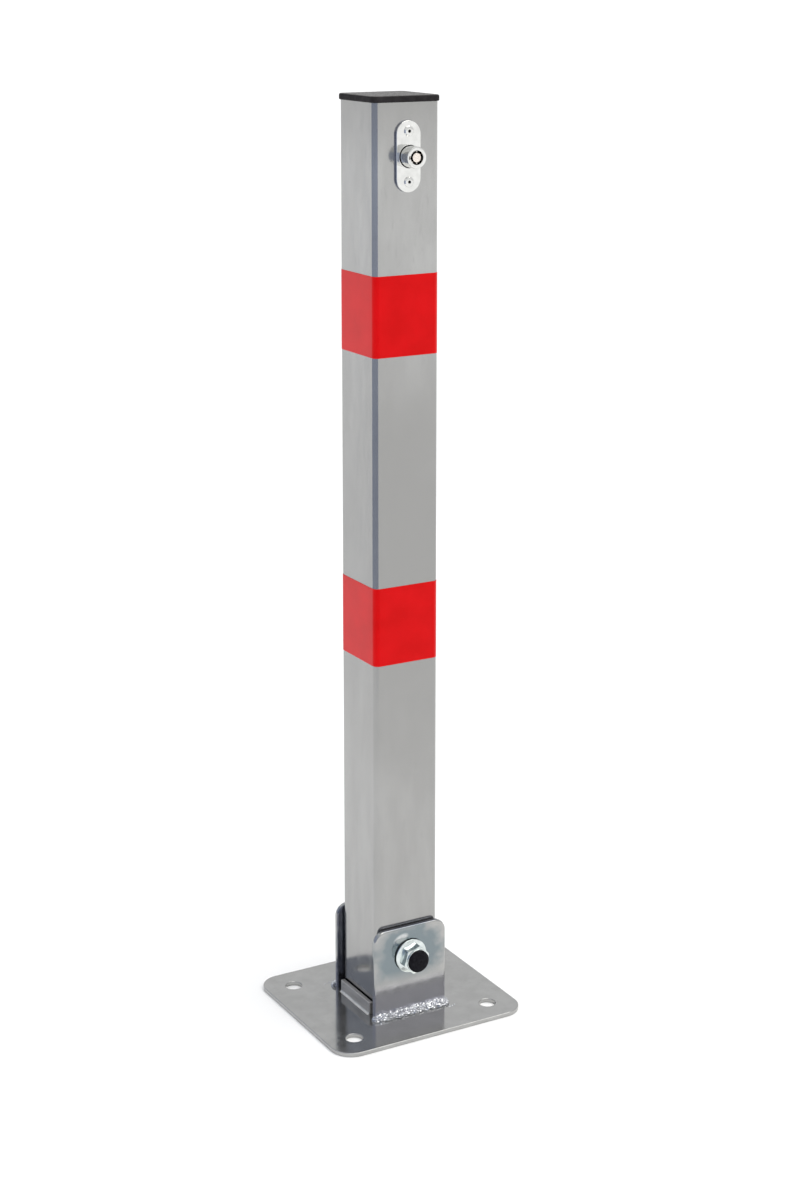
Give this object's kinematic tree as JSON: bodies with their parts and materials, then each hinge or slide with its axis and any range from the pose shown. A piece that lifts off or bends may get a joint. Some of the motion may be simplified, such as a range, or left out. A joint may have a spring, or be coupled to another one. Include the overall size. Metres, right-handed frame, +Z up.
{
  "type": "fold-down parking bollard",
  "caption": "Square steel post on a bolted base plate; it folds down about a pivot bolt once a keyed push lock near its top has released the rod inside it.",
  "frame": {"origin": "centre of the base plate's underside, on the ground", "axes": "+Z up along the standing post, -Y is the side with the lock and the pivot nut, the post folds down towards -X"},
  "size_m": [0.15, 0.135, 0.6528],
  "materials": {
    "silver_paint": "glossy silver paint",
    "red_film": "smooth red film",
    "black_plastic": "satin black",
    "zinc": "bright zinc plate",
    "lock_chrome": "bright nickel",
    "weld_metal": "painted weld ripples",
    "inner_steel": "plain bright steel",
    "spring_steel": "drawn wire",
    "nylon": "natural"
  },
  "bodies": {
    "base": {"base_plate": "silver_paint", "hinge_ear_front": "silver_paint", "hinge_ear_rear": "silver_paint", "weld_bead_front": "weld_metal", "weld_bead_rear": "weld_metal", "stop_bar_left": "silver_paint", "stop_bar_right": "silver_paint", "pivot_bolt": "zinc", "pivot_washer": "zinc", "pivot_nut": "zinc", "pivot_nut_plug": "black_plastic", "spacer_washer_front": "nylon", "spacer_washer_rear": "nylon"},
    "post": {"post_tube": "silver_paint", "pivot_sleeve": "inner_steel", "top_cap": "black_plastic", "band_upper": "red_film", "band_lower": "red_film", "rod_guide_upper": "inner_steel", "rod_guide_lower": "inner_steel", "lock_housing": "lock_chrome", "lock_rivet_upper": "lock_chrome", "lock_rivet_lower": "lock_chrome", "lock_spring": "spring_steel", "rod_return_spring": "spring_steel"},
    "plunger": {"lock_plunger": "lock_chrome"},
    "core": {"lock_core": "lock_chrome", "lock_cam": "inner_steel"},
    "latch": {"latch_rod": "inner_steel", "latch_wedge": "inner_steel", "latch_shoe": "inner_steel", "latch_pin_upper": "spring_steel", "latch_pin_lower": "spring_steel"}
  },
  "joints": [
    {"name": "post_fold", "type": "hinge", "parent": "base", "child": "post", "pos_m": [0, 0, 0.0455], "axis": [0, -1, 0], "range_deg": [0, 91.5]},
    {"name": "plunger_push", "type": "slide", "parent": "post", "child": "plunger", "axis": [0, 1, 0], "range_m": [0, 0.01], "stiffness_N_per_m": 300, "springref_m": -0.01, "deforming": ["lock_spring"]},
    {"name": "latch_drop", "type": "slide", "parent": "post", "child": "latch", "axis": [0, 0, -1], "range_m": [0, 0.01], "stiffness_N_per_m": 600, "springref_m": -0.01, "deforming": ["rod_return_spring"]},
    {"name": "key_turn", "type": "hinge", "parent": "plunger", "child": "core", "pos_m": [0, -0.03, 0.6126], "axis": [0, 1, 0], "range_deg": [0, 90]}
  ],
  "couplings": [
    {"joint": "latch_drop", "follows": "plunger_push", "ratio": 1}
  ]
}
